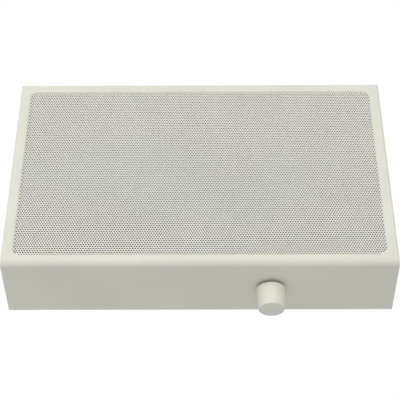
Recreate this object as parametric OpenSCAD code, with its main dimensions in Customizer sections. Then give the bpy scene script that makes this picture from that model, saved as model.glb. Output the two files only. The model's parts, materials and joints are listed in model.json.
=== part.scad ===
// Wall speaker: a moulded cabinet with a perforated metal grille over its whole front and a
// volume knob under its lower wall. X runs to the right, Z up and the front faces -Y.
// The origin is the centre of the rear face, which lies on the wall.

/* [Cabinet] */
// Width of the front face
width = 305; // [285:5:360]
// Height of the front face
height = 183; // [178:1:220]
// Depth from the wall to the front face
depth = 66; // [63:1:85]
// Draft of the four side walls in degrees
draft = 2; // [0.5:0.25:2.5]
// Thickness of the side walls
wall = 2.5; // [2.2:0.1:3]
// Thickness of the frame round the grille
front_wall = 2; // [1.8:0.1:2.8]
// Radius of the two long front edges
long_edge_r = 5.5; // [4:0.5:7.5]
// Radius of the two short front edges
end_edge_r = 2; // [0.6:0.1:2.4]
// Radius of the posts that carry the rear cover
post_r = 2.9; // [2.6:0.1:3]
// Radius of the bosses that carry the baffle
boss_r = 2.4; // [2.2:0.1:2.6]

/* [Grille] */
// Width of the frame at each end of the grille
end_margin = 8.9; // [8.5:0.1:12]
// Mean width of the frame above and below the grille
side_margin = 9.7; // [9.5:0.1:13]
// How far the grille's opening sits below the cabinet's middle
opening_drop = 0.5; // [0:0.1:0.6]
// Corner radius of the opening
opening_r = 5; // [3:0.5:8]
// Rounding of the opening's front lip
lip_r = 1.7; // [0.5:0.1:1.9]
// Thickness of the grille sheet
grille_t = 0.8; // [0.6:0.1:1.2]
// Pitch of the holes as drawn, coarser than in the real sheet
grille_pitch = 12.4; // [10:0.2:20]
// Diameter of the holes as drawn
grille_hole_d = 7.6; // [4:0.2:8]
// Plain border between the holes and the edge of the sheet
grille_border = 1.5; // [0.5:0.5:5]
// Thickness of the cloth behind the grille
cloth_t = 0.5; // [0.3:0.1:0.8]

/* [Baffle] */
// Thickness of the baffle board
baffle_t = 5; // [4:0.5:7]
// Number of baffle screws along each long side
baffle_screw_count = 4; // [2:1:4]
// Distance from a corner post to the nearest baffle screw
baffle_screw_inset = 14; // [10:1:20]

/* [Driver] */
// Distance of the driver's axis to the left of the cabinet's middle
driver_offset = 45; // [40:1:52]
// Radius of the basket's flange
flange_r = 64; // [58:0.5:66]
// Width of the baffle under the flange, inside the flange's edge
baffle_land = 12; // [10:0.5:13]
// Thickness of the pressed steel basket
basket_t = 0.8; // [0.6:0.1:1]
// Distance of the driver's screws inside the flange's edge
driver_screw_inset = 4.2; // [3.8:0.1:4.5]
// Thickness of the gasket between the flange and the baffle
gasket_t = 1.5; // [1:0.1:2]
// Distance of the surround's roll inside the flange's edge
roll_inset = 17; // [16.5:0.1:17.5]
// Radius of the surround's roll
roll_r = 3; // [2.6:0.1:3.2]
// Depth of the cone from its rim to its neck
cone_depth = 15.5; // [13:0.5:15.5]
// Outer radius of the voice coil's former
former_r = 13.2; // [12.5:0.1:14]
// Thickness of the paper cone and of the dust cap
cone_t = 0.5; // [0.3:0.1:0.7]
// Depth of the basket from its flange to its spider shelf
shelf_depth = 17; // [17:0.25:18]
// Depth of the basket from its flange to its floor
basket_depth = 26; // [24:0.5:27]
// Radius of the magnet
magnet_r = 35; // [32:0.5:40]
// Thickness of the magnet
magnet_t = 10; // [8:0.5:11]
// Thickness of the plates in front of and behind the magnet
plate_t = 4; // [3:0.5:4.5]

/* [Transformer] */
// Distance of the transformer's middle from the right end of the front
transformer_inset = 50; // [46:1:56]
// Height of the transformer's middle above the cabinet's middle
transformer_rise = 28; // [26:1:50]
// Width of the laminations
core_w = 42; // [38:1:44]
// Height of the laminations above the baffle
core_h = 35; // [31:1:38]
// Thickness of the stack of laminations
core_stack = 15; // [12:0.5:18]
// Thickness of the mounting frame's steel
strap_t = 0.8; // [0.6:0.1:1.2]
// Length of each foot of the mounting frame
foot_len = 9; // [8.6:0.2:12]

/* [Volume control] */
// Distance of the knob to the right of the cabinet's middle
knob_x = 55.5; // [50:0.5:62]
// Distance of the knob's axis behind the front face
knob_setback = 32.5; // [30:0.5:36]
// Diameter of the knob at its base
knob_base_d = 22.7; // [22.2:0.1:26]
// Diameter of the knob at its face
knob_face_d = 20.4; // [19:0.1:22]
// Height of the knob
knob_h = 18.2; // [16:0.2:20]
// Gap between the knob and the wall
knob_gap = 2.4; // [1.6:0.1:2.6]
// Rounding of the edge round the knob's face
knob_edge_r = 0.8; // [0.4:0.1:2]
// Thickness of the knob's skirt
knob_wall = 1.5; // [1.2:0.1:1.8]
// Diameter of the control shaft
shaft_d = 6; // [5:0.1:6.4]
// Running clearance of the shaft in its bush
shaft_gap = 0.05; // [0.02:0.01:0.09]
// Radius of the threaded bush
bush_r = 4.5; // [4.2:0.1:5]
// Radius of the control's body
control_r = 13; // [11:0.5:14]
// Height of the control's body
control_h = 14; // [10:0.5:18]

/* [Rear cover] */
// Thickness of the rear cover
cover_t = 3; // [2.5:0.1:4]
// Distance between the two keyholes
keyhole_spacing = 200; // [160:5:220]
// Height of the keyholes above the cabinet's middle
keyhole_rise = 55; // [45:1:62]
// Radius of the keyholes' round end
keyhole_r = 4.5; // [4:0.1:5.5]
// Radius of the screw shank that the keyholes take
keyhole_slot_r = 2.3; // [1.8:0.1:2.8]
// Length of the keyholes' slot
keyhole_slot = 9; // [7:0.5:12]
// Width of the cable pocket
pocket_w = 64; // [54:1:70]
// Height of the cable pocket
pocket_h = 40; // [36:1:42]
// Depth of the cable pocket
pocket_depth = 20; // [16:0.5:21]
// Wall thickness of the cable pocket
pocket_wall = 2; // [1.6:0.1:2.4]
// Distance of the pocket to the right of the cabinet's middle
pocket_x = 88; // [80:1:92]
// Distance of the pocket below the cabinet's middle
pocket_drop = 34; // [32:1:38]

/* [Small parts] */
// Radius of the fixing screws' shanks
screw_r = 1.4; // [1.2:0.1:1.5]
// Radius of the fixing screws' heads
screw_head_r = 2.9; // [2.6:0.1:3]
// Diameter of the internal leads
lead_d = 2.4; // [1.8:0.2:2.8]
// Clearance between pieces that are fitted together
fit_gap = 0.2; // [0.1:0.05:0.3]

/* [Hidden] */
$fn = 64;

cream = [0.90, 0.90, 0.84];
cream_metal = [0.86, 0.86, 0.81];
black = [0.10, 0.10, 0.11];
board = [0.24, 0.20, 0.17];
steel = [0.68, 0.69, 0.71];
zinc = [0.74, 0.75, 0.77];
dark_steel = [0.33, 0.34, 0.36];
ferrite = [0.20, 0.20, 0.21];
paper = [0.17, 0.17, 0.18];
copper = [0.72, 0.42, 0.22];
brass = [0.80, 0.65, 0.32];

// Overshoot of a cutter past the face that it opens
cut = 1;
tight = 0.05;

// Levels along Y, from the front to the wall
front_y = -depth;
seat_y = front_y + front_wall;
cloth_y = seat_y + grille_t;
baffle_front_y = cloth_y + cloth_t;
baffle_rear_y = baffle_front_y + baffle_t;
flange_y = baffle_rear_y + gasket_t;
cover_seat_y = -cover_t;

// Opening, grille and the posts beside them
opening_w = width - 2 * end_margin;
opening_h = height - 2 * side_margin;
post_sink = 0.4;
post_x = inner_half(width, seat_y) - post_r + post_sink;
post_z = inner_half(height, seat_y) - post_r + post_sink;
boss_head_r = boss_r + 0.8;
boss_z = inner_half(height, baffle_rear_y) - fit_gap - boss_head_r;
sheet_h = 2 * (min(post_z - post_r, boss_z - boss_r) - fit_gap);
grille_overlap = (sheet_h - opening_h) / 2 - opening_drop;
sheet_w = opening_w + 2 * grille_overlap;
grille_r = opening_r + 2;
baffle_gap = 2 * fit_gap;
rear_posts = [
    [-post_x, -post_z], [-post_x, post_z], [post_x, -post_z], [post_x, post_z],
    [0, -post_z], [0, post_z]
];
boss_reach = post_x - baffle_screw_inset;
baffle_bosses = [
    for (side = [-1, 1], i = [0:baffle_screw_count - 1])
        [boss_reach * (2 * i / (baffle_screw_count - 1) - 1), side * boss_z]
];
post_web = 1.6;

// Fixing screws
pilot_r = screw_r + tight;
hole_r = screw_r + 2 * fit_gap;
screw_head_h = 1.7;
baffle_screw_len = 6.5;
rear_screw_len = 10;
head_recess = 2;

// Driver, measured rearwards from the front of its flange
driver_x = -driver_offset;
driver_screw_len = basket_t + gasket_t + baffle_t - 1;
driver_screw_circle_r = flange_r - driver_screw_inset;
baffle_hole_r = flange_r - baffle_land;
roll_mid_r = flange_r - roll_inset;
roll_gap = 1.2;
surround_glue_w = 5.3;
flange_inner_r = roll_mid_r + roll_r + roll_gap;
surround_rim_r = flange_inner_r + surround_glue_w;
surround_t = 0.4;
shelf_inset = 26;
shelf_w = 7;
cup_step = 4;
shelf_outer_r = flange_r - shelf_inset;
shelf_inner_r = shelf_outer_r - shelf_w;
floor_r = shelf_inner_r - cup_step;
basket_rim = 2.4;
rib_count = 6;
window_angle = 38;
coil_gap = 0.5;
coil_t = 0.4;
gap_outer_r = former_r + coil_t + coil_gap;
pole_r = former_r - 0.3 - coil_gap;
former_t = 0.3;
cone_rim_outer_r = roll_mid_r - roll_r - fit_gap;
cone_rim_inner_r = cone_rim_outer_r - 2.5;
neck_r = former_r + tight;
top_plate_d = basket_depth + basket_t;
magnet_d = top_plate_d + plate_t;
back_plate_d = magnet_d + magnet_t;
cone_slope = (cone_depth - surround_t) / (cone_rim_inner_r - neck_r);
cap_base_r = neck_r + 2.8;
cap_sphere_r = cap_base_r * 1.25;

// Terminal strip behind the spider's shelf
terminal_reach = 13;
terminal_w = 14;
terminal_t = 1.4;
tab_z = 4;

// Transformer, standing on the rear of the baffle
transformer_x = width / 2 - transformer_inset;
leg_w = core_w / 6;
window_h = core_h - 2 * leg_w;
bobbin_wall = 1;
winding_out = 5.6;

// Volume control on the lower wall
knob_y = front_y + knob_setback;
wall_z = -outer_half(height, knob_y);
spot_r = 8.4;
spot_z = -outer_half(height, knob_y - spot_r) + 0.15;
pad_t = 3.1;
pad_z = spot_z + pad_t;
pad_r = control_r + 2;
bush_len = 8;
lug_pitch = 5;
lug_w = 2.4;
lug_t = 0.8;
lug_h = 6;
lug_y = 3.6;
washer_r = 7.6;
washer_t = 0.8;
nut_af = 12;
nut_h = 2.2;
knob_base_z = wall_z - knob_gap;
knob_face_z = knob_base_z - knob_h;
knob_front_t = 2.2;
hub_r = shaft_d / 2 + 2.3;
hub_z = pad_z - bush_len - 1;
shaft_end_z = knob_face_z + knob_front_t + 0.6;
flat_len = 9;
flat_x = shaft_d / 4;

// Rear cover and its pocket
cover_gap = 0.3;
keyhole_pad_w = 2.5;
pad_h = 1.5;
pocket_z = -pocket_drop;
pocket_floor_y = -pocket_depth;
block_w = 30;
block_h = 11;
block_t = 9;
block_z = pocket_z + pocket_h / 2 - block_h / 2 - 3;
way_pitch = 9;
way_count = 3;
way_r = 1.6;
grommet_r = 4;
grommet_x = pocket_x - pocket_w / 2 + 9;
grommet_z = pocket_z + 6;

function outer_half(size, y) = size / 2 + (y + depth) * tan(draft);
function inner_half(size, y) = outer_half(size, y) - wall / cos(draft);
function inner_edge(r) = max(r - wall, 0.6);
// How far the inside rounding of a front edge stands in from the wall at the baffle's front
function edge_loss(r) =
    let (i = inner_edge(r), left = max(i - (baffle_front_y - seat_y), 0))
    i - sqrt(i * i - left * left);

// Turns local +Z to the front, so that local X and Y lie along X and Z
module facing_front(y) {
    translate([0, y, 0]) rotate([90, 0, 0]) children();
}

// Turns local +Z to the wall, on the driver's axis and from the front of its flange
module driver_place() {
    translate([driver_x, flange_y, 0]) rotate([-90, 0, 0]) children();
}

module driver_turned() {
    driver_place() rotate_extrude($fn = 96) children();
}

// Section of a box whose sides flare by the draft and whose front edges are round
module drafted_section(half, front, back, r) {
    centre_u = half - r * (1 - sin(draft)) / cos(draft);
    centre_v = front + r;
    side_u = centre_u + r * cos(draft);
    side_v = centre_v - r * sin(draft);
    back_u = half + (back - front) * tan(draft);
    polygon([
        [-centre_u, front], [centre_u, front], [side_u, side_v],
        [back_u, back], [-back_u, back], [-side_u, side_v]
    ]);
    for (side = [-1, 1]) {
        translate([side * centre_u, centre_v]) circle(r);
    }
}

module drafted_box(half_x, half_z, front, back, r_x, r_z) {
    span = 2 * (width + height);
    intersection() {
        linear_extrude(span, center = true) drafted_section(half_x, front, back, r_x);
        rotate([0, 90, 0]) {
            linear_extrude(span, center = true) drafted_section(half_z, front, back, r_z);
        }
    }
}

module outer_box() {
    drafted_box(width / 2, height / 2, front_y, 0, end_edge_r, long_edge_r);
}

module cavity() {
    drafted_box(
        inner_half(width, seat_y), inner_half(height, seat_y), seat_y, cut,
        inner_edge(end_edge_r), inner_edge(long_edge_r)
    );
}

module rounded_rectangle(w, h, r) {
    square([w - 2 * r, h], center = true);
    square([w, h - 2 * r], center = true);
    for (x = [-1, 1], y = [-1, 1]) {
        translate([x * (w / 2 - r), y * (h / 2 - r)]) circle(r);
    }
}

// Section of the cutter that rounds the lip, with the opening to its left
module lip_section() {
    difference() {
        translate([-cut, -lip_r]) square([lip_r + cut, lip_r + cut]);
        translate([lip_r, -lip_r]) circle(lip_r, $fn = 32);
    }
}

module lip_cutter() {
    run_x = opening_w / 2 - opening_r;
    run_z = opening_h / 2 - opening_r;
    facing_front(front_y) translate([0, -opening_drop, 0]) {
        for (turn = [0, 180]) {
            rotate(turn) {
                translate([opening_w / 2, run_z, 0]) rotate([90, 0, 0]) {
                    linear_extrude(2 * run_z) lip_section();
                }
                translate([-run_x, opening_h / 2, 0]) rotate([90, 0, 90]) {
                    linear_extrude(2 * run_x) lip_section();
                }
                translate([run_x, run_z, 0]) {
                    rotate_extrude(angle = 90) translate([opening_r, 0]) lip_section();
                }
                mirror([1, 0, 0]) translate([run_x, run_z, 0]) {
                    rotate_extrude(angle = 90) translate([opening_r, 0]) lip_section();
                }
            }
        }
    }
}

// A post with webs to the side walls, from the front frame to the rear cover's seat
module rear_post(x, z) {
    reach = 2 * post_r + depth * tan(draft);
    facing_front(cover_seat_y) {
        translate([x, z, 0]) cylinder(r = post_r, h = cover_seat_y - seat_y);
        translate([x - post_web / 2, min(z, z + sign(z) * reach), 0]) {
            cube([post_web, reach, cover_seat_y - seat_y]);
        }
        if (x != 0) {
            translate([min(x, x + sign(x) * reach), z - post_web / 2, 0]) {
                cube([reach, post_web, cover_seat_y - seat_y]);
            }
        }
    }
}

module inside_fittings() {
    for (p = rear_posts) {
        rear_post(p[0], p[1]);
    }
    facing_front(baffle_rear_y - fit_gap) {
        for (p = baffle_bosses) {
            translate([p[0], p[1], 0]) cylinder(r = boss_r, h = baffle_rear_y - fit_gap - seat_y);
            translate([p[0] - post_web / 2, min(p[1], p[1] + sign(p[1]) * 2 * boss_r), 0]) {
                cube([post_web, 2 * boss_r, baffle_rear_y - fit_gap - seat_y]);
            }
        }
    }
    translate([knob_x, knob_y, wall_z]) cylinder(r = pad_r, h = pad_z - wall_z);
}

module casing() {
    color(cream) difference() {
        union() {
            difference() {
                outer_box();
                cavity();
            }
            intersection() {
                outer_box();
                inside_fittings();
            }
        }
        facing_front(seat_y + cut) translate([0, -opening_drop, 0]) {
            linear_extrude(front_wall + 2 * cut) {
                rounded_rectangle(opening_w, opening_h, opening_r);
            }
        }
        lip_cutter();
        facing_front(cut) {
            for (p = rear_posts) {
                translate([p[0], p[1], 0]) {
                    cylinder(r = pilot_r, h = cut + head_recess + rear_screw_len + 0.5, $fn = 24);
                }
            }
        }
        facing_front(baffle_rear_y) {
            for (p = baffle_bosses) {
                translate([p[0], p[1], 0]) cylinder(r = pilot_r, h = baffle_screw_len + 0.5, $fn = 24);
            }
        }
        translate([knob_x, knob_y, spot_z - pad_t]) cylinder(r = spot_r, h = pad_t);
        translate([knob_x, knob_y, spot_z - cut]) cylinder(r = bush_r + tight, h = pad_t + 2 * cut);
        translate([knob_x, knob_y + control_r - 3, pad_z - 1.4]) cube([2.4, 1.2, 3], center = true);
    }
}

// Staggered holes over the whole sheet, which run on under the frame
module grille_holes() {
    row_step = grille_pitch * sin(60);
    half_w = sheet_w / 2 - grille_border - grille_hole_d / 2;
    half_h = sheet_h / 2 - grille_border - grille_hole_d / 2;
    rows = floor(half_h / row_step);
    columns = ceil(half_w / grille_pitch);
    for (row = [-rows:rows], column = [-columns:columns]) {
        x = (column + (row % 2 == 0 ? 0 : 0.5)) * grille_pitch;
        if (abs(x) <= half_w) {
            translate([x, row * row_step]) circle(d = grille_hole_d, $fn = 8);
        }
    }
}

module grille() {
    color(cream_metal) facing_front(cloth_y) linear_extrude(grille_t) {
        difference() {
            rounded_rectangle(sheet_w, sheet_h, grille_r);
            grille_holes();
        }
    }
}

module grille_cloth() {
    color(black) facing_front(baffle_front_y) linear_extrude(cloth_t) {
        rounded_rectangle(sheet_w, sheet_h, grille_r);
    }
}

module baffle() {
    half_x = inner_half(width, baffle_front_y) - baffle_gap;
    half_z = inner_half(height, baffle_front_y) - edge_loss(long_edge_r) - baffle_gap;
    color(board) facing_front(baffle_rear_y) difference() {
        linear_extrude(baffle_t) difference() {
            square([2 * half_x, 2 * half_z], center = true);
            translate([driver_x, 0]) circle(baffle_hole_r, $fn = 96);
            for (p = rear_posts) {
                translate([p[0], p[1]]) circle(post_r + fit_gap);
                translate([p[0], p[1] + sign(p[1]) * 2 * post_r]) {
                    square([2 * (post_r + fit_gap), 4 * post_r], center = true);
                }
            }
            for (x = [-1, 1], z = [-1, 1]) {
                translate([x * (post_x + 2 * post_r), z * post_z]) {
                    square([4 * post_r, 2 * (post_r + fit_gap)], center = true);
                }
            }
            for (p = baffle_bosses) {
                translate([p[0], p[1]]) circle(boss_r + fit_gap);
                translate([p[0], p[1] + sign(p[1]) * 2 * boss_r]) {
                    square([2 * (boss_r + fit_gap), 4 * boss_r], center = true);
                }
            }
        }
        for (turn = [45:90:315]) {
            translate([driver_x, 0, -cut]) rotate(turn) translate([driver_screw_circle_r, 0, 0]) {
                cylinder(r = pilot_r, h = driver_screw_len - basket_t - gasket_t + cut + 0.5, $fn = 24);
            }
        }
        for (side = [-1, 1]) {
            translate([transformer_x + side * foot_hole_x(), transformer_rise, -cut]) {
                cylinder(r = pilot_r, h = transformer_screw_len() - strap_t + cut + 0.5, $fn = 24);
            }
        }
    }
}

// A pan-head screw with a cross recess: the underside of its head is at z = 0, its tip at +Z
module pan_screw(head_r, head_h, len) {
    slot_w = 0.9;
    difference() {
        union() {
            cylinder(r = screw_r, h = len - screw_r, $fn = 24);
            translate([0, 0, len - screw_r]) cylinder(r1 = screw_r, r2 = 0.2, h = screw_r, $fn = 24);
            translate([0, 0, -head_h / 2]) cylinder(r = head_r, h = head_h / 2, $fn = 32);
            translate([0, 0, -head_h]) {
                cylinder(r1 = head_r * 0.72, r2 = head_r, h = head_h / 2, $fn = 32);
            }
        }
        for (turn = [0, 90]) {
            rotate(turn) translate([0, 0, -head_h]) {
                cube([1.1 * head_r, slot_w, head_h], center = true);
            }
        }
    }
}

module baffle_screws() {
    color(zinc) facing_front(baffle_rear_y) {
        for (p = baffle_bosses) {
            translate([p[0], p[1], 0]) pan_screw(boss_head_r, screw_head_h, baffle_screw_len);
        }
    }
}

module driver_gasket() {
    color(black) driver_place() translate([0, 0, -gasket_t]) difference() {
        cylinder(r = flange_r - 0.5, h = gasket_t, $fn = 96);
        translate([0, 0, -cut]) cylinder(r = surround_rim_r + fit_gap, h = gasket_t + 2 * cut, $fn = 96);
        for (turn = [45:90:315]) {
            rotate(turn) translate([driver_screw_circle_r, 0, -cut]) {
                cylinder(r = hole_r, h = gasket_t + 2 * cut, $fn = 24);
            }
        }
    }
}

// Pressed basket: flange with a turned rim, ribbed cone, spider shelf and cup
module driver_basket() {
    t = basket_t;
    floor_d = basket_depth;
    color(dark_steel) difference() {
        driver_turned() {
            translate([flange_inner_r, 0]) square([flange_r - flange_inner_r, t]);
            translate([flange_r - t, 0]) square([t, basket_rim]);
            polygon([
                [flange_inner_r, 0], [flange_inner_r + t, t], [shelf_outer_r + t, shelf_depth + t],
                [shelf_outer_r - t / 2, shelf_depth + t], [shelf_outer_r - t / 2, shelf_depth]
            ]);
            translate([shelf_inner_r - t, shelf_depth]) square([shelf_outer_r - shelf_inner_r + t, t]);
            polygon([
                [shelf_inner_r, shelf_depth], [shelf_inner_r, shelf_depth + t], [floor_r, floor_d + t],
                [floor_r - t, floor_d + t], [floor_r - t, floor_d], [shelf_inner_r - t, shelf_depth]
            ]);
            translate([gap_outer_r + fit_gap, floor_d]) {
                square([floor_r - gap_outer_r - fit_gap, t]);
            }
        }
        driver_place() for (i = [0:rib_count - 1]) {
            rotate(i * 360 / rib_count) rotate_extrude(angle = window_angle) {
                translate([shelf_outer_r + 0.8, 3]) {
                    square([flange_inner_r - shelf_outer_r, shelf_depth - 5.5]);
                }
            }
        }
        driver_place() for (turn = [45:90:315]) {
            rotate(turn) translate([driver_screw_circle_r, 0, -cut]) {
                cylinder(r = hole_r, h = t + 2 * cut, $fn = 24);
            }
        }
    }
}

module surround() {
    color(black) driver_turned() {
        rim_w = surround_rim_r - roll_mid_r - roll_r + surround_t;
        translate([roll_mid_r + roll_r - surround_t, -surround_t]) square([rim_w, surround_t]);
        translate([cone_rim_inner_r, -surround_t]) {
            square([roll_mid_r - roll_r + surround_t - cone_rim_inner_r, surround_t]);
        }
        difference() {
            translate([roll_mid_r, 0]) circle(roll_r);
            translate([roll_mid_r, 0]) circle(roll_r - surround_t);
            translate([roll_mid_r - roll_r - cut, 0]) square([2 * (roll_r + cut), roll_r + cut]);
        }
    }
}

module cone() {
    color(paper) driver_turned() {
        translate([cone_rim_inner_r - cone_t, tight]) {
            square([cone_rim_outer_r - cone_rim_inner_r + cone_t, cone_t]);
        }
        polygon([
            [cone_rim_inner_r - cone_t, tight], [cone_rim_inner_r, tight + cone_t],
            [neck_r + 0.6, cone_depth + cone_t], [neck_r, cone_depth + cone_t],
            [neck_r, cone_depth - cone_t]
        ]);
    }
}

// A dome whose edge stands on the cone
module dust_cap() {
    front_slope = (cone_depth - cone_t - tight) / (cone_rim_inner_r - cone_t - neck_r);
    edge_d = cone_depth - cone_t - (cap_base_r - neck_r) * front_slope - fit_gap;
    centre_d = edge_d + sqrt(cap_sphere_r * cap_sphere_r - cap_base_r * cap_base_r);
    color(paper) driver_turned() difference() {
        intersection() {
            translate([0, centre_d]) circle(cap_sphere_r);
            translate([0, edge_d - cap_sphere_r]) square([cap_sphere_r, cap_sphere_r]);
        }
        translate([0, centre_d]) circle(cap_sphere_r - cone_t);
    }
}

// Corrugated disc between the basket's shelf and the voice coil
module spider() {
    inner_r = former_r + tight;
    outer_r = shelf_outer_r - basket_t;
    glue = 4;
    waves = 5;
    steps = 8 * waves;
    height_of = 0.9;
    t = 0.35;
    wave_in = inner_r + 1;
    wave_out = outer_r - glue;
    line = [
        for (i = [0:steps])
            [
                wave_in + (wave_out - wave_in) * i / steps,
                -t - height_of / 2 * (1 - cos(360 * waves * i / steps))
            ]
    ];
    back = [for (i = [steps:-1:0]) [line[i][0], line[i][1] + t]];
    color([0.62, 0.52, 0.30]) driver_place() translate([0, 0, shelf_depth]) {
        rotate_extrude($fn = 64) {
            polygon(concat([[inner_r, -t]], line, [[outer_r, -t], [outer_r, 0]], back, [[inner_r, 0]]));
        }
    }
}

module voice_coil() {
    coil_mid = top_plate_d + plate_t / 2;
    coil_half = plate_t / 2 + 2;
    former_front = cone_depth - 1.8;
    color(copper) driver_turned() {
        translate([former_r - former_t, former_front]) {
            square([former_t, coil_mid + coil_half - former_front]);
        }
        translate([former_r - tight, coil_mid - coil_half]) square([coil_t + tight, 2 * coil_half]);
    }
}

module ring(inner_r, outer_r, from, thickness) {
    driver_place() translate([0, 0, from]) difference() {
        cylinder(r = outer_r, h = thickness, $fn = 96);
        translate([0, 0, -cut]) cylinder(r = inner_r, h = thickness + 2 * cut);
    }
}

module top_plate() {
    color(zinc) ring(gap_outer_r, magnet_r - 2, top_plate_d, plate_t);
}

module magnet() {
    color(ferrite) ring(gap_outer_r + 3, magnet_r, magnet_d, magnet_t);
}

module pole_plate() {
    vent_r = 4;
    color(zinc) driver_turned() {
        translate([vent_r, back_plate_d]) square([magnet_r - 2 - vent_r, plate_t]);
        translate([vent_r, top_plate_d - 0.5]) {
            square([pole_r - vent_r, back_plate_d - top_plate_d + 0.5 + plate_t / 2]);
        }
    }
}

// A strip behind the spider's shelf with two tabs
module driver_terminals() {
    d = shelf_depth + basket_t;
    color(brass) driver_place() {
        translate([shelf_inner_r + 1, -terminal_w / 2, d]) cube([terminal_reach, terminal_w, terminal_t]);
        for (side = [-1, 1]) {
            translate([shelf_inner_r + terminal_reach - 1, side * tab_z - 1.4, d + terminal_t - 0.8]) {
                cube([7, 2.8, 0.8]);
            }
        }
    }
}

module driver_screws() {
    color(zinc) translate([driver_x, 0, 0]) facing_front(flange_y + basket_t) {
        for (turn = [45:90:315]) {
            rotate(turn) translate([driver_screw_circle_r, 0, 0]) {
                pan_screw(screw_head_r, screw_head_h, driver_screw_len);
            }
        }
    }
}

function foot_hole_x() = core_w / 2 + strap_t + foot_len / 2;
function transformer_screw_len() = strap_t + baffle_t - 1;

// Places local Z along the rise from the baffle to the wall, local X along X and local Y along -Z
module transformer_place() {
    translate([transformer_x, baffle_rear_y, transformer_rise]) rotate([-90, 0, 0]) children();
}

// Laminations: two windows beside a centre leg that points to the wall
module transformer_core() {
    color(dark_steel) transformer_place() translate([0, core_stack / 2, 0]) rotate([90, 0, 0]) {
        linear_extrude(core_stack) difference() {
            translate([-core_w / 2, 0]) square([core_w, core_h]);
            for (side = [-1, 1]) {
                translate([side * 1.5 * leg_w - leg_w / 2, leg_w]) square([leg_w, window_h]);
            }
        }
    }
}

module transformer_bobbin() {
    hole_x = 2 * leg_w + 2 * fit_gap;
    hole_y = core_stack + 2 * fit_gap;
    flange_x = 4 * leg_w - 2 * fit_gap;
    flange_y_size = hole_y + 2 * bobbin_wall + 2 * winding_out;
    z0 = leg_w + fit_gap;
    h = window_h - 2 * fit_gap;
    color([0.85, 0.83, 0.75]) transformer_place() difference() {
        union() {
            translate([0, 0, z0 + h / 2]) {
                cube([hole_x + 2 * bobbin_wall, hole_y + 2 * bobbin_wall, h], center = true);
            }
            for (z = [z0 + bobbin_wall / 2, z0 + h - bobbin_wall / 2]) {
                translate([0, 0, z]) cube([flange_x, flange_y_size, bobbin_wall], center = true);
            }
        }
        translate([0, 0, z0 + h / 2]) cube([hole_x, hole_y, h + 2 * cut], center = true);
    }
}

// Wire wound on the bobbin, with its turns' outer layer rounded at the corners
module transformer_winding() {
    inner_x = 2 * leg_w + 2 * fit_gap + 2 * bobbin_wall + 2 * tight;
    inner_y = core_stack + 2 * fit_gap + 2 * bobbin_wall + 2 * tight;
    outer_x = 4 * leg_w - 4 * fit_gap;
    outer_y = inner_y + 2 * winding_out - 1;
    z0 = leg_w + fit_gap + bobbin_wall + tight;
    h = window_h - 2 * fit_gap - 2 * bobbin_wall - 2 * tight;
    color(copper) transformer_place() translate([0, 0, z0]) linear_extrude(h) difference() {
        rounded_rectangle(outer_x, outer_y, 2);
        square([inner_x, inner_y], center = true);
    }
}

// Steel channel over the laminations, with two feet on the baffle
module transformer_frame() {
    half = core_w / 2 + fit_gap;
    top = core_h + fit_gap;
    color(zinc) transformer_place() difference() {
        translate([0, (core_stack - 1) / 2, 0]) rotate([90, 0, 0]) linear_extrude(core_stack - 1) {
            for (side = [-1, 1]) {
                mirror([side < 0 ? 1 : 0, 0]) {
                    translate([half, 0]) square([strap_t, top + strap_t]);
                    translate([half, 0]) square([foot_len + strap_t, strap_t]);
                }
            }
            translate([-half, top]) square([2 * half, strap_t]);
        }
        for (side = [-1, 1]) {
            translate([side * foot_hole_x(), 0, -cut]) cylinder(r = hole_r, h = strap_t + 2 * cut, $fn = 24);
        }
    }
}

module transformer_screws() {
    color(zinc) facing_front(baffle_rear_y + strap_t) {
        for (side = [-1, 1]) {
            translate([transformer_x + side * foot_hole_x(), transformer_rise, 0]) {
                pan_screw(screw_head_r, screw_head_h, transformer_screw_len());
            }
        }
    }
}

module control_place(z) {
    translate([knob_x, knob_y, z]) children();
}

// Can, front plate, threaded bush and a peg that stops the control turning in the wall
module control_body() {
    bore_r = shaft_d / 2 + shaft_gap;
    color(zinc) control_place(pad_z) difference() {
        union() {
            cylinder(r = control_r, h = 2);
            cylinder(r = control_r - 1, h = control_h);
            translate([0, 0, -bush_len]) cylinder(r = bush_r, h = bush_len + 1);
            translate([0, control_r - 3, -0.9]) cube([2, 0.8, 1.9], center = true);
        }
        translate([0, 0, -bush_len - cut]) cylinder(r = bore_r, h = bush_len + cut + 8.2);
    }
}

module control_lugs() {
    color(brass) control_place(pad_z + control_h) {
        for (x = [-lug_pitch, 0, lug_pitch]) {
            translate([x - lug_w / 2, -4, 0]) cube([lug_w, 4 + lug_y + lug_t / 2, lug_t]);
            translate([x - lug_w / 2, lug_y - lug_t / 2, 0]) cube([lug_w, lug_t, lug_h]);
        }
    }
}

module control_washer() {
    color(zinc) control_place(spot_z - washer_t) difference() {
        cylinder(r = washer_r, h = washer_t);
        translate([0, 0, -cut]) cylinder(r = bush_r + tight, h = washer_t + 2 * cut);
    }
}

module control_nut() {
    color(zinc) control_place(spot_z - washer_t - nut_h) difference() {
        cylinder(r = nut_af / 2 / cos(30), h = nut_h, $fn = 6);
        translate([0, 0, -cut]) cylinder(r = bush_r + tight, h = nut_h + 2 * cut);
    }
}

// Shaft with a flat where the knob is pushed on
module control_shaft() {
    top_z = pad_z + 8;
    color(steel) control_place(shaft_end_z) difference() {
        cylinder(r = shaft_d / 2, h = top_z - shaft_end_z);
        translate([flat_x, -shaft_d, -cut]) cube([shaft_d, 2 * shaft_d, flat_len + cut]);
    }
}

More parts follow.
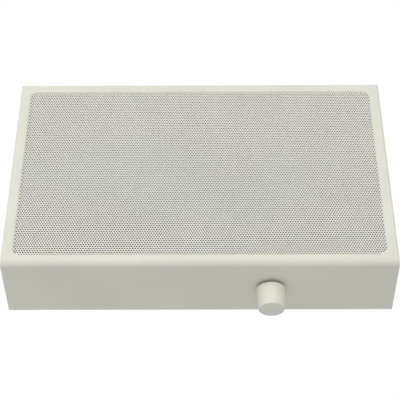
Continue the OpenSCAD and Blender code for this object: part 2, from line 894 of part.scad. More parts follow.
// Hollow knob: tapered skirt, round face edge, keyed hub and ribs
module knob() {
    base_r = knob_base_d / 2;
    face_r = knob_face_d / 2;
    lean = atan((base_r - face_r) / knob_h);
    // Centre of the face's rounding, which touches the face and the tapered side
    edge_x = face_r - knob_edge_r * (1 - sin(lean)) / cos(lean);
    side_x = edge_x + knob_edge_r * cos(lean);
    side_z = knob_edge_r - knob_edge_r * sin(lean);
    inner_r = base_r - knob_wall;
    inner_face_r = face_r - knob_wall;
    bore_r = shaft_d / 2 + tight;
    color(cream) control_place(knob_face_z) difference() {
        union() {
            difference() {
                rotate_extrude($fn = 96) {
                    polygon([
                        [0, 0], [edge_x, 0], [side_x, side_z], [base_r, knob_h], [0, knob_h]
                    ]);
                    intersection() {
                        translate([edge_x, knob_edge_r]) circle(knob_edge_r, $fn = 48);
                        square([base_r, knob_h]);
                    }
                }
                rotate_extrude($fn = 96) {
                    polygon([
                        [0, knob_front_t], [inner_face_r, knob_front_t],
                        [inner_r, knob_h + cut], [0, knob_h + cut]
                    ]);
                }
            }
            translate([0, 0, knob_front_t / 2]) {
                cylinder(r = hub_r, h = hub_z - knob_face_z - knob_front_t / 2);
            }
            for (turn = [30:60:330]) {
                rotate(turn) translate([hub_r - 0.6, -0.6, knob_front_t / 2]) {
                    cube([inner_face_r - hub_r + 1, 1.2, 7]);
                }
            }
        }
        translate([0, 0, knob_front_t]) difference() {
            cylinder(r = bore_r, h = knob_h);
            translate([flat_x + tight, -shaft_d, -cut]) cube([shaft_d, 2 * shaft_d, flat_len - 0.4]);
        }
    }
}

module keyhole() {
    circle(keyhole_r);
    translate([-keyhole_slot_r, 0]) square([2 * keyhole_slot_r, keyhole_slot]);
    translate([0, keyhole_slot]) circle(keyhole_slot_r, $fn = 32);
}

// Moulded plate with stiffening ribs, a walled cable pocket, keyholes and screw seats
module rear_cover() {
    plate_w = 2 * (inner_half(width, cover_seat_y) - cover_gap);
    plate_h = 2 * (inner_half(height, cover_seat_y) - cover_gap);
    rib_h = 4;
    rib_t = 1.8;
    rib_inset = 16;
    rib_reach = plate_h / 2 - rib_inset;
    rib_x = keyhole_spacing / 2 + rib_inset;
    color(cream) difference() {
        union() {
            facing_front(0) linear_extrude(cover_t) square([plate_w, plate_h], center = true);
            facing_front(0) translate([pocket_x, pocket_z, 0]) linear_extrude(pocket_depth + pocket_wall) {
                square([pocket_w + 2 * pocket_wall, pocket_h + 2 * pocket_wall], center = true);
            }
            facing_front(cover_seat_y + cut) {
                for (side = [-1, 1]) {
                    translate([side * rib_x - rib_t / 2, -rib_reach, 0]) {
                        cube([rib_t, 2 * rib_reach, rib_h + cut]);
                    }
                    translate([-rib_x, side * rib_reach - rib_t / 2, 0]) {
                        cube([2 * rib_x, rib_t, rib_h + cut]);
                    }
                    translate([side * keyhole_spacing / 2, keyhole_rise, 0]) linear_extrude(cut + pad_h) {
                        offset(r = keyhole_pad_w) keyhole();
                    }
                }
            }
        }
        facing_front(cut) translate([pocket_x, pocket_z, 0]) linear_extrude(pocket_depth + cut) {
            square([pocket_w, pocket_h], center = true);
        }
        facing_front(cut) {
            for (p = rear_posts) {
                translate([p[0], p[1], 0]) {
                    cylinder(r = hole_r, h = cover_t + 2 * cut, $fn = 24);
                    cylinder(r = screw_head_r + fit_gap, h = head_recess + cut, $fn = 32);
                }
            }
            for (side = [-1, 1]) {
                translate([side * keyhole_spacing / 2, keyhole_rise, 0]) {
                    linear_extrude(cover_t + pad_h + 2 * cut) keyhole();
                }
            }
            translate([grommet_x, grommet_z, pocket_depth]) {
                cylinder(r = grommet_r, h = pocket_wall + 2 * cut, $fn = 32);
            }
            for (side = [-1, 1]) {
                translate([pocket_x + side * (block_w / 2 - 2.6), block_z, pocket_depth]) {
                    cylinder(r = 1, h = pocket_wall + 2 * cut, $fn = 24);
                }
            }
        }
    }
}

module rear_screws() {
    color(zinc) facing_front(-head_recess) {
        for (p = rear_posts) {
            translate([p[0], p[1], 0]) pan_screw(screw_head_r, screw_head_h, rear_screw_len);
        }
    }
}

// Three-way block on the pocket's floor: wire mouths face down, screws face the wall
module terminal_block() {
    color(black) translate([pocket_x, pocket_floor_y, block_z]) difference() {
        union() {
            translate([-block_w / 2, 0, -block_h / 2]) cube([block_w, block_t, block_h]);
            for (side = [-1, 1]) {
                translate([side * (block_w / 2 - 2.6), tight, 0]) rotate([90, 0, 0]) {
                    cylinder(r = 0.9, h = pocket_wall, $fn = 24);
                }
            }
        }
        for (i = [0:way_count - 1]) {
            x = (i - (way_count - 1) / 2) * way_pitch;
            translate([x, block_t / 2 - 1, -block_h / 2 - cut]) {
                cylinder(r = way_r, h = block_h - 2 + cut, $fn = 24);
            }
            translate([x, block_t + cut, 0]) rotate([90, 0, 0]) {
                cylinder(r = way_r + 0.4, h = block_t / 2 + cut, $fn = 24);
            }
        }
    }
}

module terminal_screws() {
    len = 4.2;
    color(brass) for (i = [0:way_count - 1]) {
        x = pocket_x + (i - (way_count - 1) / 2) * way_pitch;
        translate([x, pocket_floor_y + block_t / 2 + 0.2, block_z]) rotate([-90, 0, 0]) difference() {
            cylinder(r = way_r + 0.35, h = len - 0.6, $fn = 24);
            translate([-way_r - cut, -0.3, len - 1.4]) cube([2 * (way_r + cut), 0.6, 2]);
        }
    }
}

// Rubber grommet round the feed lead where it leaves the pocket
module grommet() {
    lip = 1.4;
    color(black) translate([grommet_x, pocket_floor_y + lip, grommet_z]) rotate([90, 0, 0]) {
        rotate_extrude($fn = 48) difference() {
            translate([lead_d / 2 + fit_gap, 0]) {
                square([grommet_r + lip - lead_d / 2 - fit_gap, pocket_wall + 2 * lip]);
            }
            translate([grommet_r - tight, lip - tight]) square([2 * lip, pocket_wall + 2 * tight]);
        }
    }
}

function unit(v) = v / norm(v);

// A round lead swept along a list of points, whose rings start square to a direction
module lead(points, d, square_to) {
    sides = 8;
    n = len(points);
    tangents = [
        for (i = [0:n - 1]) unit(points[min(i + 1, n - 1)] - points[max(i - 1, 0)])
    ];
    side_axes = [for (t = tangents) unit(cross(t, square_to))];
    rings = [
        for (i = [0:n - 1], k = [0:sides - 1])
            points[i] + d / 2 * (cos(360 * k / sides) * side_axes[i]
                + sin(360 * k / sides) * cross(tangents[i], side_axes[i]))
    ];
    sides_faces = [
        for (i = [0:n - 2], k = [0:sides - 1])
            [i * sides + k, i * sides + (k + 1) % sides,
                (i + 1) * sides + (k + 1) % sides, (i + 1) * sides + k]
    ];
    start_face = [for (k = [sides - 1:-1:0]) k];
    end_face = [for (k = [0:sides - 1]) (n - 1) * sides + k];
    polyhedron(rings, concat(sides_faces, [start_face, end_face]));
}

// Smooth points between hand-set ones
function bezier(a, b, c, d, t) =
    pow(1 - t, 3) * a + 3 * pow(1 - t, 2) * t * b + 3 * (1 - t) * t * t * c + t * t * t * d;
function curve(a, b, c, d, steps) = [for (i = [0:steps]) bezier(a, b, c, d, i / steps)];

lead_end_gap = 0.3;
lug_end_z = pad_z + control_h + lug_h + lead_d / 2 + lead_end_gap;
bobbin_out_z = core_stack / 2 + fit_gap + bobbin_wall + winding_out;
terminal_tip_x = driver_x + shelf_inner_r + terminal_reach + 6;
lead_steps = 14;

// From the terminal block through the grommet to the transformer's lower side
module feed_lead() {
    start = [
        pocket_x - way_pitch, pocket_floor_y + block_t / 2 - 1, block_z - block_h / 2 - lead_end_gap
    ];
    enter = [grommet_x, pocket_floor_y + 2.5, grommet_z];
    leave = [grommet_x, pocket_floor_y - pocket_wall - 2.5, grommet_z];
    finish = [
        transformer_x - leg_w, baffle_rear_y + core_h / 2,
        transformer_rise - bobbin_out_z - lead_end_gap
    ];
    outside = curve(
        start, start + [0, pocket_depth / 10, -pocket_h / 4],
        enter + [0, 0.55 * pocket_depth, 0], enter, lead_steps
    );
    inside = curve(
        leave, leave + [0, -pocket_depth, 0],
        finish + [0, 0, -transformer_rise / 2], finish, lead_steps
    );
    color("red") lead(concat(outside, inside), lead_d, unit([1, 0.2, 0.3]));
}

// From the transformer to the volume control's lugs
module volume_lead() {
    start = [
        transformer_x + leg_w, baffle_rear_y + core_h / 2,
        transformer_rise - bobbin_out_z - lead_end_gap
    ];
    finish = [knob_x + lug_pitch, knob_y + lug_y, lug_end_z];
    drop = start[2] - finish[2];
    color("white") lead(
        curve(
            start, start + [0, -drop / 10, -0.6 * drop],
            finish + [0.35 * drop, -0.15 * drop, 0.12 * drop], finish, lead_steps
        ),
        lead_d, [0, 1, 0]
    );
}

// From the volume control's lugs to the driver's tabs
module driver_lead() {
    start = [knob_x - lug_pitch, knob_y + lug_y, lug_end_z];
    finish = [
        terminal_tip_x + lead_end_gap + 1, flange_y + shelf_depth + basket_t + terminal_t - 0.4,
        -tab_z
    ];
    span_x = start[0] - finish[0];
    span_z = finish[2] - start[2];
    color("black") lead(
        curve(
            start, start + [-span_x / 10, 0, span_z / 2],
            finish + [0.4 * span_x, 0, -span_z / 5], finish, lead_steps
        ),
        lead_d, [0, 1, 0]
    );
}

// Foam block at the end of the cabinet beside the driver
module damping_pad() {
    pad_len = 22;
    half_z = 60;
    back_y = cover_seat_y - 5;
    x0 = -inner_half(width, baffle_rear_y) + 0.6;
    y0 = baffle_rear_y + 0.3;
    color([0.55, 0.56, 0.58]) translate([x0, y0, -half_z]) {
        cube([pad_len, back_y - y0, 2 * half_z]);
    }
}

casing();
grille();
grille_cloth();
baffle();
baffle_screws();
driver_gasket();
driver_basket();
surround();
cone();
dust_cap();
spider();
voice_coil();
top_plate();
magnet();
pole_plate();
driver_terminals();
driver_screws();
transformer_core();
transformer_bobbin();
transformer_winding();
transformer_frame();
transformer_screws();
control_body();
control_lugs();
control_washer();
control_nut();
control_shaft();
knob();
rear_cover();
rear_screws();
terminal_block();
terminal_screws();
grommet();
feed_lead();
volume_lead();
driver_lead();
damping_pad();
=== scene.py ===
"""Looks of a wall speaker: off-white moulded cabinet, fine perforated grille and volume knob."""

import itertools
import json
import math

import bmesh
import bpy
from mathutils import Matrix, Vector
from mathutils.geometry import delaunay_2d_cdt

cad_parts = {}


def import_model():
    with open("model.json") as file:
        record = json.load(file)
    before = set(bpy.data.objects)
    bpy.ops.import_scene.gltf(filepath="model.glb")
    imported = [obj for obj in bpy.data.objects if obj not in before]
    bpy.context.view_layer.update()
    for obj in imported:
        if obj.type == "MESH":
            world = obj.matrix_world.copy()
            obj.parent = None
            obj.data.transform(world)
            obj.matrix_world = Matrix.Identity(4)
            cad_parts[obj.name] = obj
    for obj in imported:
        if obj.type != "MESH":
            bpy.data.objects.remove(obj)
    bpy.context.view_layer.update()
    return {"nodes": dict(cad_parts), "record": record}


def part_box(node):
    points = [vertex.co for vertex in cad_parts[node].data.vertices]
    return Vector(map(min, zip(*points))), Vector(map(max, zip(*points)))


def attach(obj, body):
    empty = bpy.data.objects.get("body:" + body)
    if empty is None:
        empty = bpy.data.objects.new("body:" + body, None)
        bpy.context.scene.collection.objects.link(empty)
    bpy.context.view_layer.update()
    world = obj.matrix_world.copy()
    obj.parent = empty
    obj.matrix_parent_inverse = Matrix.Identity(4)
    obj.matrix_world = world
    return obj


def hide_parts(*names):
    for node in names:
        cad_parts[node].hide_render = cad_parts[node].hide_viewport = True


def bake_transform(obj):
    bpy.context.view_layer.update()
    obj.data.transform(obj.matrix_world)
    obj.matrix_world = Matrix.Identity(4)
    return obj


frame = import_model()
nodes = frame["nodes"]
scene = bpy.context.scene

# Perforated sheet, in metres: rows stagger by half a pitch, a hole has twelve corners
HOLE_PITCH = 0.00201
ROW_STEP = 0.0017775
HOLE_D = 0.00144
HOLE_SIDES = 12
GRILLE_BANDS = 4
GRILLE_CORNER_R = 0.007
SHEET_RIM = 0.0003
ROW_SHIFT = 0.00014
COLUMN_SHIFT = -0.0004

# Rings round the cone, cut in sectors, and an inner and an outer radius for each
FLEX_SECTORS = 16
FLEX_START = math.pi / 64
SURROUND_BEND = (0.0455, 0.0530)
SPIDER_BEND = (0.0150, 0.0325)
WELD = 1e-6
ON_PLANE = 1e-7

# Camera, solved from the photograph's corner lines
LENS_MM = 97.75
CAMERA_AT = (0.00498, -0.76562, -0.53333)
CAMERA_DIRECTION = (-0.00560, 0.81289, 0.58239)
CAMERA_ROLL_DEG = -0.068

# Lights: where they stand, their sizes in metres and their levels
AMBIENT = 0.49
KEY_AT, KEY_SIZE, KEY_WATTS = (-0.3, -1.5, 0.12), (4.2, 1.1), 19.8
FILL_AT, FILL_SIZE, FILL_WATTS = (0.3, 1.8, 0.6), (1.4, 1.4), 1.2

# Floor: half its width and its height in metres, its tone and what the camera sees besides
FLOOR_HALF = 6.0
FLOOR_Z = -1.35
FLOOR_TONE = 0.9
FLOOR_LIFT = 0.48

# Colours, linear
CREAM = (0.805, 0.803, 0.703)
CREAM_SHEET = (0.93, 0.93, 0.855)
CREAM_BACK = (0.76, 0.765, 0.67)


def node_tree(name):
    """A new material with its tree, its shader and an output of object coordinates."""
    material = bpy.data.materials.new(name)
    material.use_nodes = True
    tree = material.node_tree
    shader = tree.nodes["Principled BSDF"]
    place = tree.nodes.new("ShaderNodeTexCoord")
    return material, tree, shader, place.outputs["Object"]


def noise(tree, coordinate, scale, detail=2.0, roughness=0.5):
    texture = tree.nodes.new("ShaderNodeTexNoise")
    texture.inputs["Scale"].default_value = scale
    texture.inputs["Detail"].default_value = detail
    texture.inputs["Roughness"].default_value = roughness
    tree.links.new(coordinate, texture.inputs["Vector"])
    return texture.outputs["Fac"]


def stretched(tree, coordinate, scale):
    mapping = tree.nodes.new("ShaderNodeMapping")
    mapping.inputs["Scale"].default_value = scale
    tree.links.new(coordinate, mapping.inputs["Vector"])
    return mapping.outputs["Vector"]


def ramp(tree, value, low, high, dark, light):
    """Colours from dark to light as value runs from low to high."""
    colours = tree.nodes.new("ShaderNodeValToRGB")
    colours.color_ramp.elements[0].position = low
    colours.color_ramp.elements[1].position = high
    colours.color_ramp.elements[0].color = (*dark, 1)
    colours.color_ramp.elements[1].color = (*light, 1)
    tree.links.new(value, colours.inputs["Fac"])
    return colours.outputs["Color"]


def span(tree, value, low, high):
    """A value from 0 to 1, spread between low and high."""
    node = tree.nodes.new("ShaderNodeMapRange")
    node.inputs["From Min"].default_value = 0.3
    node.inputs["From Max"].default_value = 0.7
    node.inputs["To Min"].default_value = low
    node.inputs["To Max"].default_value = high
    tree.links.new(value, node.inputs["Value"])
    return node.outputs["Result"]


def bump(tree, shader, height, depth, strength=1.0, below=None):
    node = tree.nodes.new("ShaderNodeBump")
    node.inputs["Distance"].default_value = depth
    node.inputs["Strength"].default_value = strength
    tree.links.new(height, node.inputs["Height"])
    if below is not None:
        tree.links.new(below, node.inputs["Normal"])
    tree.links.new(node.outputs["Normal"], shader.inputs["Normal"])
    return node.outputs["Normal"]


def shade(colour, factor):
    return tuple(min(c * factor, 1.0) for c in colour)


def moulded(name, colour, rough, grain_m, grain_depth, variation=0.03, specular=0.4):
    """Moulded plastic: broad, faint colour drift, a spark-eroded grain and slow flow ripples."""
    material, tree, shader, place = node_tree(name)
    drift = noise(tree, place, 14, 3)
    colours = ramp(
        tree, drift, 0.35, 0.65, shade(colour, 1 - variation), shade(colour, 1 + variation)
    )
    tree.links.new(colours, shader.inputs["Base Color"])
    patches = noise(tree, place, 45, 4)
    tree.links.new(span(tree, patches, rough - 0.05, rough + 0.05), shader.inputs["Roughness"])
    shader.inputs["Specular IOR Level"].default_value = specular
    ripples = noise(tree, place, 60, 1)
    slow = bump(tree, shader, ripples, 0.00004, 0.35)
    grain = noise(tree, place, 1 / grain_m, 3, 0.6)
    bump(tree, shader, grain, grain_depth, 0.6, slow)
    return material


def painted_sheet():
    """Powder coat on perforated steel: even satin paint with a faint orange peel."""
    material, tree, shader, place = node_tree("grille_paint")
    drift = noise(tree, place, 22, 3)
    colours = ramp(tree, drift, 0.35, 0.65, shade(CREAM_SHEET, 0.98), shade(CREAM_SHEET, 1.01))
    tree.links.new(colours, shader.inputs["Base Color"])
    patches = noise(tree, place, 120, 3)
    tree.links.new(span(tree, patches, 0.38, 0.50), shader.inputs["Roughness"])
    peel = noise(tree, place, 1400, 2)
    bump(tree, shader, peel, 0.00003, 0.5)
    return material


def zinc(name, colour, rough=0.32):
    """Bright zinc plate with fine spangle and drawing lines."""
    material, tree, shader, place = node_tree(name)
    shader.inputs["Metallic"].default_value = 1.0
    spangle = noise(tree, place, 600, 4)
    colours = ramp(tree, spangle, 0.3, 0.7, shade(colour, 0.82), shade(colour, 1.08))
    tree.links.new(colours, shader.inputs["Base Color"])
    tree.links.new(span(tree, spangle, rough - 0.06, rough + 0.1), shader.inputs["Roughness"])
    lines = noise(tree, stretched(tree, place, (3000, 200, 3000)), 1, 2)
    bump(tree, shader, lines, 0.00002, 0.4)
    return material


def rubber(name, colour, rough=0.7):
    material, tree, shader, place = node_tree(name)
    bloom = noise(tree, place, 160, 4)
    colours = ramp(tree, bloom, 0.35, 0.7, colour, shade(colour, 1.8))
    tree.links.new(colours, shader.inputs["Base Color"])
    tree.links.new(span(tree, bloom, rough - 0.08, rough + 0.08), shader.inputs["Roughness"])
    bump(tree, shader, noise(tree, place, 2400, 3), 0.00003, 0.6)
    return material


def woven(name, colour, pitch_m):
    """Plain-woven cloth: warp and weft as crossed waves that take turns on top."""
    material, tree, shader, place = node_tree(name)
    waves = []
    for rotation in ((0, 0, 0), (0, math.pi / 2, 0)):
        mapping = tree.nodes.new("ShaderNodeMapping")
        mapping.inputs["Rotation"].default_value = rotation
        tree.links.new(place, mapping.inputs["Vector"])
        wave = tree.nodes.new("ShaderNodeTexWave")
        wave.inputs["Scale"].default_value = 0.314 / pitch_m
        wave.inputs["Distortion"].default_value = 0.4
        tree.links.new(mapping.outputs["Vector"], wave.inputs["Vector"])
        waves.append(wave.outputs["Fac"])
    weave = tree.nodes.new("ShaderNodeMath")
    weave.operation = "MULTIPLY"
    tree.links.new(waves[0], weave.inputs[0])
    tree.links.new(waves[1], weave.inputs[1])
    colours = ramp(tree, weave.outputs["Value"], 0.1, 0.8, shade(colour, 0.5), shade(colour, 1.4))
    tree.links.new(colours, shader.inputs["Base Color"])
    shader.inputs["Roughness"].default_value = 0.9
    shader.inputs["Sheen Weight"].default_value = 0.15
    bump(tree, shader, weave.outputs["Value"], pitch_m * 0.3, 0.8)
    return material


def fibrous(name, colour, scale, rough=0.85, stretch=(1, 1, 1), contrast=0.35):
    """Pressed fibre: paper pulp, hardboard, felt or foam, by scale and stretch."""
    material, tree, shader, place = node_tree(name)
    fibres = noise(tree, stretched(tree, place, stretch), scale, 6, 0.65)
    colours = ramp(
        tree, fibres, 0.3, 0.7, shade(colour, 1 - contrast), shade(colour, 1 + contrast)
    )
    tree.links.new(colours, shader.inputs["Base Color"])
    tree.links.new(span(tree, fibres, rough - 0.08, rough + 0.08), shader.inputs["Roughness"])
    bump(tree, shader, fibres, 0.3 / scale, 0.5)
    return material


def wound(name, colour):
    """Enamelled wire wound in fine turns across the local rise."""
    material, tree, shader, place = node_tree(name)
    shader.inputs["Metallic"].default_value = 0.85
    wave = tree.nodes.new("ShaderNodeTexWave")
    wave.bands_direction = "Y"
    wave.inputs["Scale"].default_value = 0.314 / 0.0005
    wave.inputs["Distortion"].default_value = 0.6
    tree.links.new(place, wave.inputs["Vector"])
    colours = ramp(tree, wave.outputs["Fac"], 0.1, 0.8, shade(colour, 0.45), shade(colour, 1.2))
    tree.links.new(colours, shader.inputs["Base Color"])
    shader.inputs["Roughness"].default_value = 0.35
    bump(tree, shader, wave.outputs["Fac"], 0.0001, 0.8)
    return material


def insulation(name, colour):
    material, tree, shader, place = node_tree(name)
    drift = noise(tree, place, 90, 3)
    colours = ramp(tree, drift, 0.3, 0.7, shade(colour, 0.85), shade(colour, 1.15))
    tree.links.new(colours, shader.inputs["Base Color"])
    tree.links.new(span(tree, drift, 0.3, 0.42), shader.inputs["Roughness"])
    bump(tree, shader, noise(tree, place, 900, 2), 0.00003, 0.4)
    return material


def finishes():
    """One material for each of the record's slots."""
    return {
        "cabinet_plastic": moulded("cabinet_plastic", CREAM, 0.46, 0.0007, 0.00005),
        "knob_plastic": moulded("knob_plastic", CREAM, 0.40, 0.0006, 0.00004),
        "cover_plastic": moulded("cover_plastic", CREAM_BACK, 0.58, 0.0011, 0.00012),
        "grille_paint": painted_sheet(),
        "cloth": woven("cloth", (0.02, 0.02, 0.02), 0.0006),
        "board": fibrous("board", (0.13, 0.085, 0.05), 350),
        "zinc_steel": zinc("zinc_steel", (0.62, 0.64, 0.66)),
        "shaft_steel": zinc("shaft_steel", (0.58, 0.58, 0.58), 0.25),
        "gasket_foam": rubber("gasket_foam", (0.03, 0.03, 0.03), 0.85),
        "basket_paint": moulded("basket_paint", (0.06, 0.062, 0.068), 0.4, 0.001, 0.00004, 0.1),
        "surround_rubber": rubber("surround_rubber", (0.02, 0.02, 0.02), 0.55),
        "cone_paper": fibrous("cone_paper", (0.035, 0.034, 0.033), 900),
        "spider_cloth": woven("spider_cloth", (0.38, 0.24, 0.08), 0.0008),
        "copper_wire": wound("copper_wire", (0.62, 0.24, 0.09)),
        "ferrite": fibrous("ferrite", (0.05, 0.05, 0.052), 1500, 0.6, contrast=0.2),
        "brass": zinc("brass", (0.72, 0.50, 0.20), 0.3),
        "lamination_steel": zinc("lamination_steel", (0.16, 0.16, 0.17), 0.5),
        "bobbin_plastic": moulded("bobbin_plastic", (0.60, 0.55, 0.42), 0.5, 0.001, 0.00004),
        "terminal_plastic": moulded(
            "terminal_plastic", (0.03, 0.03, 0.032), 0.45, 0.0008, 0.00005, 0.15
        ),
        "grommet_rubber": rubber("grommet_rubber", (0.02, 0.02, 0.02)),
        "red_insulation": insulation("red_insulation", (0.42, 0.02, 0.015)),
        "white_insulation": insulation("white_insulation", (0.68, 0.68, 0.62)),
        "black_insulation": insulation("black_insulation", (0.015, 0.015, 0.015)),
        "damping_foam": fibrous("damping_foam", (0.20, 0.21, 0.22), 260, 0.95),
    }


def dress_nodes(materials):
    slot_of = {p["node"]: p["material_slot"] for p in frame["record"]["subparts"]}
    for name, node in nodes.items():
        node.data.materials.clear()
        node.data.materials.append(materials[slot_of[name]])


class Lattice:
    """Round holes in staggered rows inside a rounded rectangle: points (x, z) and faces."""

    def __init__(self, half_x, half_z, corner_r):
        self.first = math.ceil((-half_z - ROW_SHIFT) / ROW_STEP)
        self.last = math.floor((half_z - ROW_SHIFT) / ROW_STEP)
        self.points = []
        self.holes = {}
        corner_at = [math.radians(15 + 30 * k) for k in range(HOLE_SIDES)]
        radius = HOLE_D / 2 / math.sqrt(math.cos(math.pi / HOLE_SIDES))
        for row in range(self.first, self.last + 1):
            shift = 0.5 * (row % 2) * HOLE_PITCH + COLUMN_SHIFT
            first = math.ceil((-half_x - shift) / HOLE_PITCH)
            last = math.floor((half_x - shift) / HOLE_PITCH)
            for column in range(first, last + 1):
                centre = (column * HOLE_PITCH + shift, row * ROW_STEP + ROW_SHIFT)
                past_x = max(abs(centre[0]) - half_x + corner_r, 0)
                past_z = max(abs(centre[1]) - half_z + corner_r, 0)
                if math.hypot(past_x, past_z) > corner_r:
                    continue
                self.holes[column, row] = len(self.points)
                self.points += [
                    (centre[0] + radius * math.cos(turn), centre[1] + radius * math.sin(turn))
                    for turn in corner_at
                ]

    def faces(self):
        """(row, point indices) of each bridge between two holes and each patch among three.

        The numbers count a hole's corners, anticlockwise from 15 degrees."""
        for (column, row), a in self.holes.items():
            lean = row % 2
            right = self.holes.get((column + 1, row))
            up_right = self.holes.get((column + lean, row + 1))
            up_left = self.holes.get((column + lean - 1, row + 1))
            down = self.holes.get((column + lean, row - 1))
            if right is not None:
                yield row, (a + 11, right + 6, right + 5, a)
            if up_right is not None:
                yield row, (a + 1, up_right + 8, up_right + 7, a + 2)
            if up_left is not None:
                yield row, (a + 3, up_left + 10, up_left + 9, a + 4)
            if right is not None and up_right is not None:
                yield row, (a, right + 5, right + 4, up_right + 9, up_right + 8, a + 1)
            if right is not None and down is not None:
                yield row - 1, (a + 10, down + 3, down + 2, right + 7, right + 6, a + 11)


def open_edges(faces):
    """Directed edges that no other face shares."""
    edges = set()
    for face in faces:
        for start, end in zip(face, face[1:] + face[:1]):
            if (end, start) in edges:
                edges.remove((end, start))
            else:
                edges.add((start, end))
    return edges


def sheet_piece(name, points, faces, front_y, back_y):
    """A closed solid: flat faces drawn in X and Z, given the sheet's thickness along Y."""
    used = sorted({i for face in faces for i in face})
    new = {old: i for i, old in enumerate(used)}
    count = len(used)
    faces = [tuple(new[i] for i in face) for face in faces]
    vertices = [(points[i][0], y, points[i][1]) for y in (front_y, back_y) for i in used]
    walls = [(b, a, a + count, b + count) for a, b in sorted(open_edges(faces))]
    backs = [tuple(i + count for i in reversed(face)) for face in faces]
    mesh = bpy.data.meshes.new(name)
    mesh.from_pydata(vertices, [], faces + backs + walls)
    mesh.update()
    piece = bpy.data.objects.new(name, mesh)
    scene.collection.objects.link(piece)
    return piece


def outline_loop(faces):
    """The longest loop of open edges: the outside of the lattice."""
    following = dict(open_edges(faces))
    loops = []
    while following:
        start, point = next(iter(following.items()))
        loop = [start]
        del following[start]
        while point != start:
            loop.append(point)
            point = following.pop(point)
        loops.append(loop)
    return max(loops, key=len)


def round_the_outside(loop):
    """The outline led round the far side of each hole that it passes, so that those are whole."""
    turned = loop[-HOLE_SIDES:] + loop[:-HOLE_SIDES]
    while turned[0] // HOLE_SIDES == turned[-1] // HOLE_SIDES:
        turned.append(turned.pop(0))
    outside = []
    for hole, run in itertools.groupby(turned, key=lambda point: point // HOLE_SIDES):
        corners = [point % HOLE_SIDES for point in run]
        step = -1 if (corners[1] - corners[0]) % HOLE_SIDES == 1 else 1
        corner = corners[0]
        outside.append(hole * HOLE_SIDES + corner)
        while corner != corners[-1]:
            corner = (corner + step) % HOLE_SIDES
            outside.append(hole * HOLE_SIDES + corner)
    return outside


def rounded_outline(half_x, half_z, radius, steps=8):
    corners = ((1, 1, 0), (-1, 1, 90), (-1, -1, 180), (1, -1, 270))
    points = []
    for sign_x, sign_z, start in corners:
        for i in range(steps + 1):
            turn = math.radians(start + 90 * i / steps)
            points.append((
                sign_x * (half_x - radius) + radius * math.cos(turn),
                sign_z * (half_z - radius) + radius * math.sin(turn),
            ))
    return points


def ring_faces(outer, inner):
    """Triangles that fill the space between two outlines."""
    millimetres = [Vector((1000 * x, 1000 * z)) for x, z in outer + inner]
    outlines = [list(range(len(outer))), list(range(len(outer), len(outer) + len(inner)))]
    without_holes = 2
    _, _, faces, origins, _, _ = delaunay_2d_cdt(millimetres, [], outlines, without_holes, 1e-5)
    return [tuple(origins[i][0] for i in face) for face in faces]


def grille(material):
    """The fine perforation, in bands of rows, and the plain rim that the frame hides."""
    low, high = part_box("grille")
    half_x, half_z = (high[0] - low[0]) / 2, (high[2] - low[2]) / 2
    front_y, back_y = low[1], high[1]
    inset = HOLE_D / 2 + SHEET_RIM
    lattice = Lattice(half_x - inset, half_z - inset, GRILLE_CORNER_R - inset)
    rows = lattice.last - lattice.first + 1
    banded = [[] for _ in range(GRILLE_BANDS)]
    for row, face in lattice.faces():
        band = int((row - lattice.first + 0.5) / rows * GRILLE_BANDS)
        banded[min(max(band, 0), GRILLE_BANDS - 1)].append(face)
    pieces = [
        sheet_piece(f"grille_band_{i + 1}", lattice.points, band, front_y, back_y)
        for i, band in enumerate(banded)
    ]
    edge = round_the_outside(outline_loop([face for band in banded for face in band]))
    inner = [lattice.points[i] for i in edge]
    outer = rounded_outline(half_x, half_z, GRILLE_CORNER_R)
    rim = ring_faces(outer, inner)
    pieces.append(sheet_piece("grille_rim", outer + inner, rim, front_y, back_y))
    for piece in pieces:
        piece.data.materials.append(material)
        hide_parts("grille")
        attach(piece, "cabinet")


def flexing(name, material):
    """A ring that follows the cone inside and the basket outside, cut in sectors."""
    low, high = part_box(name)
    centre = (Vector(low) + Vector(high)) / 2
    step = 2 * math.pi / FLEX_SECTORS
    for i in range(FLEX_SECTORS):
        piece = bpy.data.objects.new(f"{name}_{i + 1}", nodes[name].data.copy())
        scene.collection.objects.link(piece)
        build = bmesh.new()
        build.from_mesh(piece.data)
        bmesh.ops.remove_doubles(build, verts=build.verts, dist=WELD)
        for side in (0, 1):
            turn = FLEX_START + (i + side) * step
            normal = Vector((-math.sin(turn), 0, math.cos(turn))) * (1 if side else -1)
            cut = bmesh.ops.bisect_plane(
                build, geom=[*build.verts, *build.edges, *build.faces], dist=ON_PLANE,
                plane_co=centre, plane_no=normal, clear_outer=True,
            )["geom_cut"]
            section = [part for part in cut if isinstance(part, bmesh.types.BMEdge)]
            bmesh.ops.holes_fill(build, edges=section, sides=0)
        bmesh.ops.triangulate(build, faces=[f for f in build.faces if len(f.verts) > 4])
        bmesh.ops.recalc_face_normals(build, faces=build.faces)
        build.to_mesh(piece.data)
        build.free()
        piece.data.materials.clear()
        piece.data.materials.append(material)
        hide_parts(name)
        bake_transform(piece)


def camera():
    direction = Vector(CAMERA_DIRECTION).normalized()
    right = direction.cross(Vector((0, 0, 1))).normalized()
    up = right.cross(direction)
    roll = math.radians(CAMERA_ROLL_DEG)
    right, up = (
        right * math.cos(roll) - up * math.sin(roll), up * math.cos(roll) + right * math.sin(roll)
    )
    data = bpy.data.cameras.new("camera")
    data.lens = LENS_MM
    data.sensor_width = 36
    thing = bpy.data.objects.new("camera", data)
    scene.collection.objects.link(thing)
    turn = Matrix((right, up, -direction)).transposed()
    thing.matrix_world = Matrix.Translation(CAMERA_AT) @ turn.to_4x4()
    scene.camera = thing


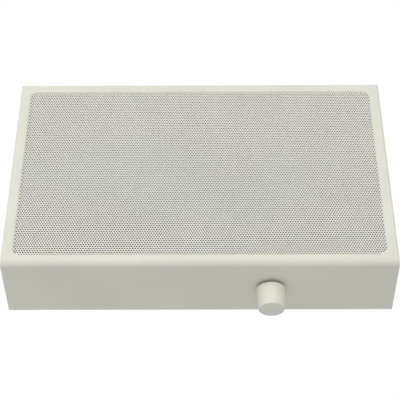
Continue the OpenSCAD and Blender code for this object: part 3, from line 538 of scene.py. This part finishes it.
def area_light(name, at, size, watts):
    """A rectangular lamp that faces the middle of the speaker's back."""
    data = bpy.data.lights.new(name, "AREA")
    data.shape = "RECTANGLE"
    data.size, data.size_y = size
    data.energy = watts
    thing = bpy.data.objects.new(name, data)
    scene.collection.objects.link(thing)
    turn = (-Vector(at)).to_track_quat("-Z", "Y")
    thing.matrix_world = Matrix.Translation(at) @ turn.to_matrix().to_4x4()


def background_seen(tree):
    """1 on a ray that shows the background, straight on or in gloss or glass; 0 on other light."""
    path = tree.nodes.new("ShaderNodeLightPath")
    shown = path.outputs["Is Camera Ray"]
    for ray in ("Is Glossy Ray", "Is Transmission Ray"):
        either = tree.nodes.new("ShaderNodeMath")
        either.operation = "MAXIMUM"
        tree.links.new(shown, either.inputs[0])
        tree.links.new(path.outputs[ray], either.inputs[1])
        shown = either.outputs["Value"]
    return shown


def world():
    """White where the camera and reflections look past the object, a plain soft level elsewhere."""
    surround = bpy.data.worlds.new("studio")
    surround.use_nodes = True
    scene.world = surround
    tree = surround.node_tree
    background = tree.nodes["Background"]
    level = tree.nodes.new("ShaderNodeMapRange")
    level.inputs["To Min"].default_value = AMBIENT
    level.inputs["To Max"].default_value = 1.0
    tree.links.new(background_seen(tree), level.inputs["Value"])
    background.inputs["Color"].default_value = (1, 1, 1, 1)
    tree.links.new(level.outputs["Result"], background.inputs["Strength"])


def floor():
    """A plain pale floor well below the speaker, which hangs on a wall that isn't shown."""
    build = bmesh.new()
    for side_x, side_y in ((-1, -1), (1, -1), (1, 1), (-1, 1)):
        build.verts.new((side_x * FLOOR_HALF, side_y * FLOOR_HALF, FLOOR_Z))
    build.faces.new(build.verts)
    mesh = bpy.data.meshes.new("floor")
    build.to_mesh(mesh)
    build.free()
    thing = bpy.data.objects.new("floor", mesh)
    scene.collection.objects.link(thing)
    material, tree, shader, _ = node_tree("floor")
    shader.inputs["Base Color"].default_value = (FLOOR_TONE, FLOOR_TONE, FLOOR_TONE, 1)
    shader.inputs["Roughness"].default_value = 0.9
    lift = tree.nodes.new("ShaderNodeMapRange")
    lift.inputs["To Max"].default_value = FLOOR_LIFT
    tree.links.new(background_seen(tree), lift.inputs["Value"])
    shader.inputs["Emission Color"].default_value = (1, 1, 1, 1)
    tree.links.new(lift.outputs["Result"], shader.inputs["Emission Strength"])
    mesh.materials.append(material)


scene.view_settings.view_transform = "Standard"
camera()
world()
area_light("key", KEY_AT, KEY_SIZE, KEY_WATTS)
area_light("back_fill", FILL_AT, FILL_SIZE, FILL_WATTS)
floor()
made = finishes()
dress_nodes(made)
grille(made["grille_paint"])
for ring, slot, bend in (
    ("surround", "surround_rubber", SURROUND_BEND),
    ("spider", "spider_cloth", SPIDER_BEND),
):
    flexing(ring, made[slot])
